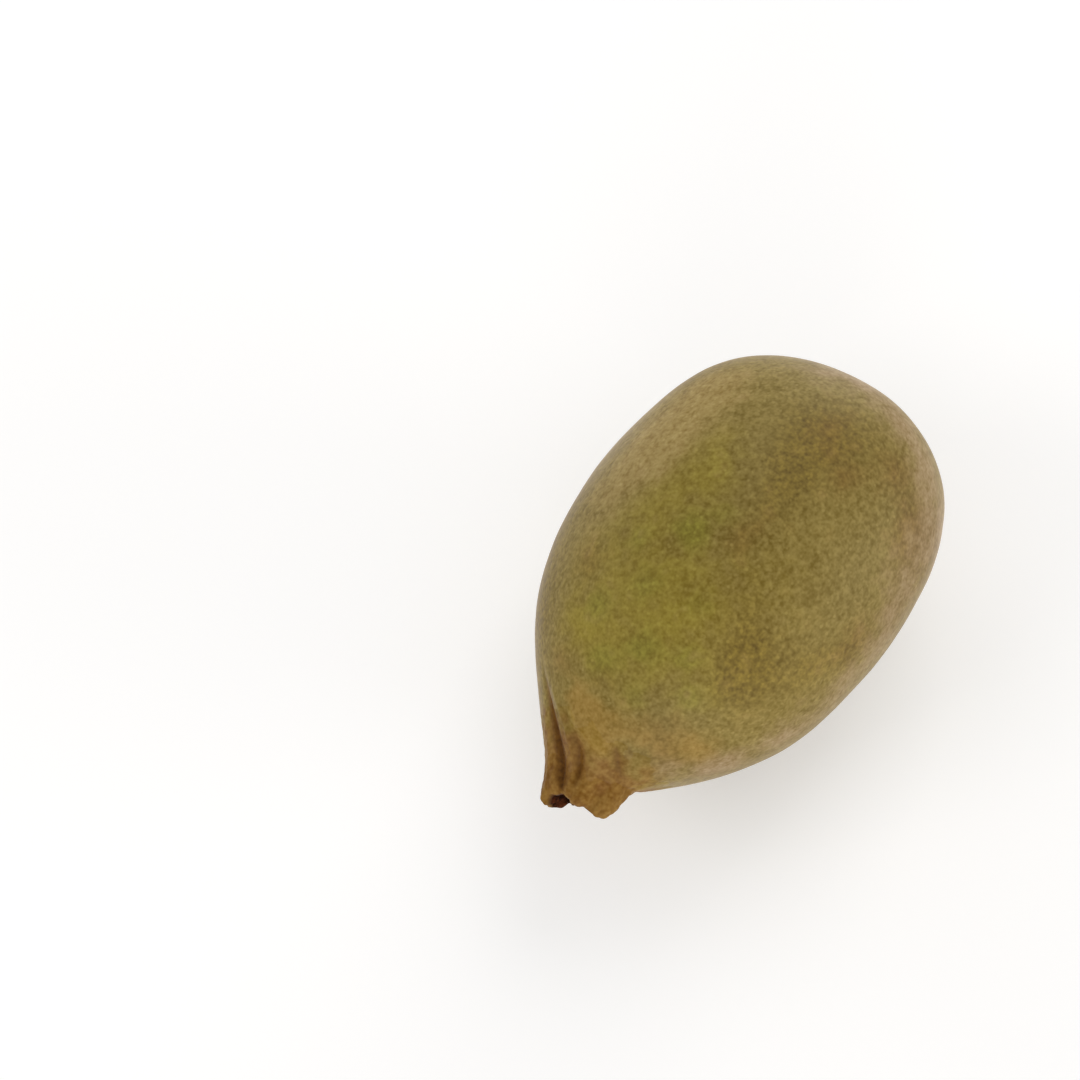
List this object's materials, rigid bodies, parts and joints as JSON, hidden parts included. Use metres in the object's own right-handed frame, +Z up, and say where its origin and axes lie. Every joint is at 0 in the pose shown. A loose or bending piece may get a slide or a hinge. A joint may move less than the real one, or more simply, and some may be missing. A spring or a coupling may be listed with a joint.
{
  "type": "golden kiwi fruit",
  "caption": "Whole golden kiwi fruit lying on its side, an egg-shaped fruit with a creased beak at the blossom end and thin olive-brown skin.",
  "frame": {"origin": "centre of the fruit's bounding box, at the level of the flat spot that it rests on", "axes": "+X along the fruit from the beak to the stem end, +Y to its left, +Z up as it lies"},
  "size_m": [0.0742, 0.0486, 0.0457],
  "materials": {
    "skin": "thin olive-brown fruit skin with fine beige specks and a soft matte bloom"
  },
  "bodies": {
    "root": {"kiwi_fruit": "skin"}
  },
  "joints": []
}
